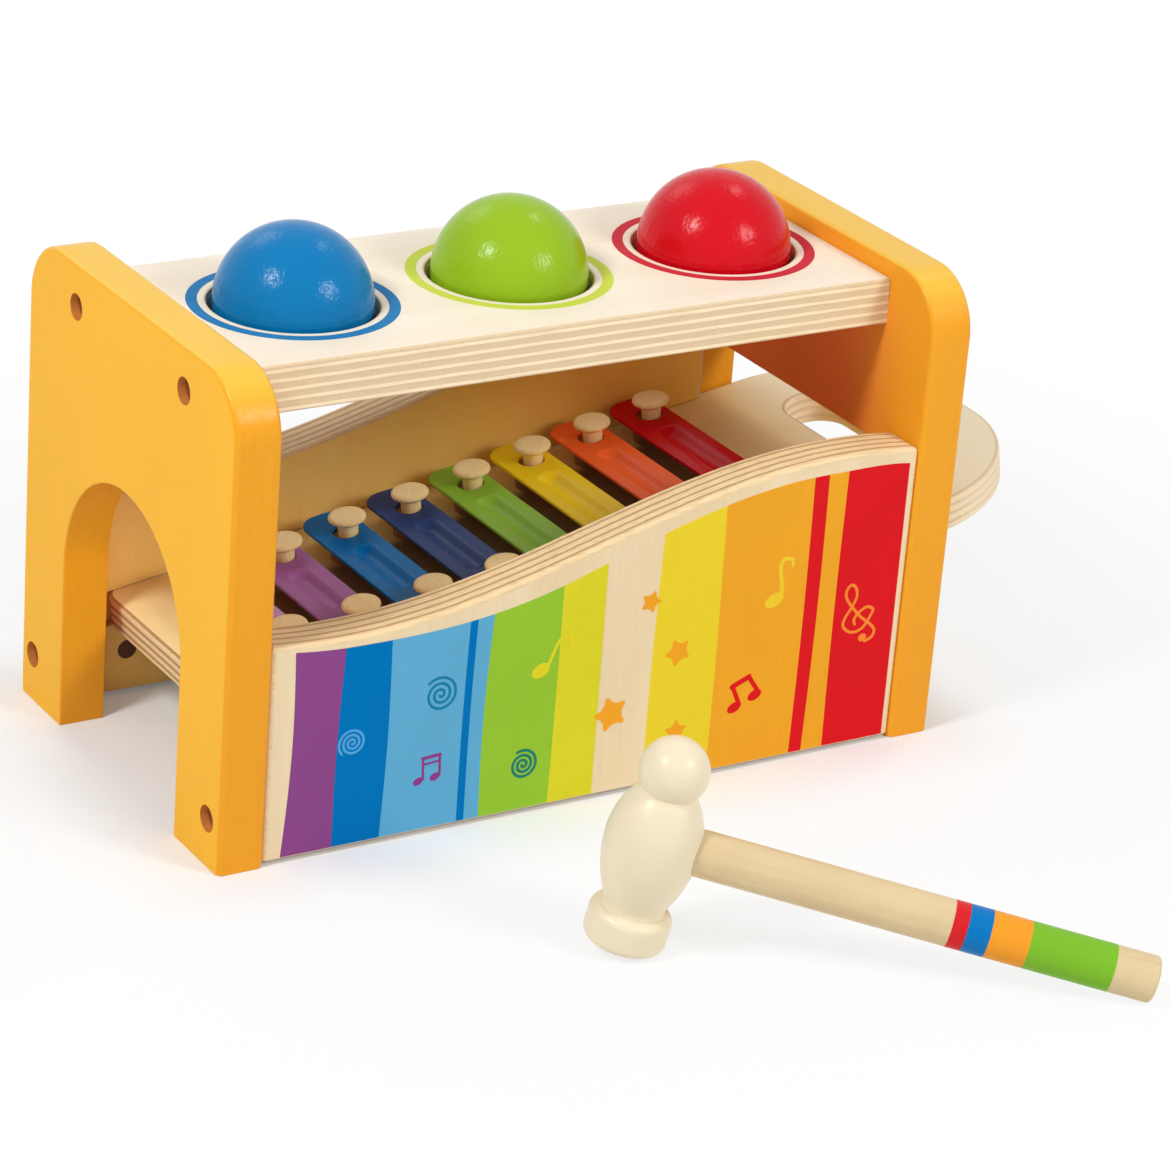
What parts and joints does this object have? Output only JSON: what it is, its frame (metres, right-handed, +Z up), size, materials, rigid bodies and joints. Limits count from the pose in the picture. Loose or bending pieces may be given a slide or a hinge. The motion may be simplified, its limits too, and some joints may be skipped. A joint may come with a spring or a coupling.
{
  "type": "ball pounding xylophone",
  "caption": "Wooden pounding bench: balls struck through rubber rings fall on a sloping xylophone tray that slides out, roll over its metal bars and leave by an arch; with hammer.",
  "frame": {"origin": "middle of the whole set's footprint (bench, tray handle and hammer), on the table it stands on", "axes": "+X along the bench from the ball exit to the tray's handle, +Y from the printed front to the rear, +Z up"},
  "size_m": [0.2844, 0.293, 0.1599],
  "materials": {
    "orange_ply": "satin orange paint on plywood",
    "birch_ply": "clear satin lacquer, printed stripes on the long panels",
    "tray_ply": "clear satin lacquer",
    "turned_wood": "clear satin lacquer",
    "ring_rubber": "matte",
    "felt": "pressed felt",
    "steel": "zinc plated",
    "blue_paint": "gloss paint",
    "green_paint": "gloss paint",
    "red_paint": "gloss paint",
    "cream_wood": "cream satin paint",
    "handle_wood": "clear satin lacquer with painted bands",
    "lilac_enamel": "gloss enamel",
    "purple_enamel": "gloss enamel",
    "blue_enamel": "gloss enamel",
    "navy_enamel": "gloss enamel",
    "green_enamel": "gloss enamel",
    "yellow_enamel": "gloss enamel",
    "orange_enamel": "gloss enamel",
    "red_enamel": "gloss enamel"
  },
  "bodies": {
    "bench": {"left_end_panel": "orange_ply", "right_end_panel": "orange_ply", "top_board": "birch_ply", "front_panel": "birch_ply", "rear_panel": "birch_ply", "left_ball_ring": "ring_rubber", "middle_ball_ring": "ring_rubber", "right_ball_ring": "ring_rubber", "left_bolts": "steel", "right_bolts": "steel", "barrel_nuts": "steel", "locating_dowels": "turned_wood"},
    "tray": {"xylophone_tray": "tray_ply", "front_pegs": "turned_wood", "rear_pegs": "turned_wood", "front_felts": "felt", "rear_felts": "felt"},
    "blue_ball": {"blue_ball": "blue_paint"},
    "green_ball": {"green_ball": "green_paint"},
    "red_ball": {"red_ball": "red_paint"},
    "lilac_bar": {"lilac_bar": "lilac_enamel"},
    "purple_bar": {"purple_bar": "purple_enamel"},
    "blue_bar": {"blue_bar": "blue_enamel"},
    "navy_bar": {"navy_bar": "navy_enamel"},
    "green_bar": {"green_bar": "green_enamel"},
    "yellow_bar": {"yellow_bar": "yellow_enamel"},
    "orange_bar": {"orange_bar": "orange_enamel"},
    "red_bar": {"red_bar": "red_enamel"},
    "hammer": {"hammer_head": "cream_wood", "hammer_handle": "handle_wood"}
  },
  "joints": [
    {"name": "tray_slide", "type": "slide", "parent": "bench", "child": "tray", "axis": [0.9871, 0, 0.1599], "range_m": [-0.0048, 0.225]},
    {"name": "blue_ball_drop", "type": "slide", "parent": "bench", "child": "blue_ball", "axis": [0, 0, 1], "range_m": [-0.065, 0.04], "deforming": ["left_ball_ring"]},
    {"name": "green_ball_drop", "type": "slide", "parent": "bench", "child": "green_ball", "axis": [0, 0, 1], "range_m": [-0.054, 0.04], "deforming": ["middle_ball_ring"]},
    {"name": "red_ball_drop", "type": "slide", "parent": "bench", "child": "red_ball", "axis": [0, 0, 1], "range_m": [-0.043, 0.04], "deforming": ["right_ball_ring"]},
    {"name": "lilac_bar_rattle", "type": "slide", "parent": "tray", "child": "lilac_bar", "axis": [-0.1599, 0, 0.9871], "range_m": [0, 0.0025]},
    {"name": "purple_bar_rattle", "type": "slide", "parent": "tray", "child": "purple_bar", "axis": [-0.1599, 0, 0.9871], "range_m": [0, 0.0025]},
    {"name": "blue_bar_rattle", "type": "slide", "parent": "tray", "child": "blue_bar", "axis": [-0.1599, 0, 0.9871], "range_m": [0, 0.0025]},
    {"name": "navy_bar_rattle", "type": "slide", "parent": "tray", "child": "navy_bar", "axis": [-0.1599, 0, 0.9871], "range_m": [0, 0.0025]},
    {"name": "green_bar_rattle", "type": "slide", "parent": "tray", "child": "green_bar", "axis": [-0.1599, 0, 0.9871], "range_m": [0, 0.0025]},
    {"name": "yellow_bar_rattle", "type": "slide", "parent": "tray", "child": "yellow_bar", "axis": [-0.1599, 0, 0.9871], "range_m": [0, 0.0025]},
    {"name": "orange_bar_rattle", "type": "slide", "parent": "tray", "child": "orange_bar", "axis": [-0.1599, 0, 0.9871], "range_m": [0, 0.0025]},
    {"name": "red_bar_rattle", "type": "slide", "parent": "tray", "child": "red_bar", "axis": [-0.1599, 0, 0.9871], "range_m": [0, 0.0025]},
    {"name": "hammer_lift", "type": "slide", "parent": "bench", "child": "hammer", "axis": [0, 0, 1], "range_m": [0, 0.15]}
  ]
}
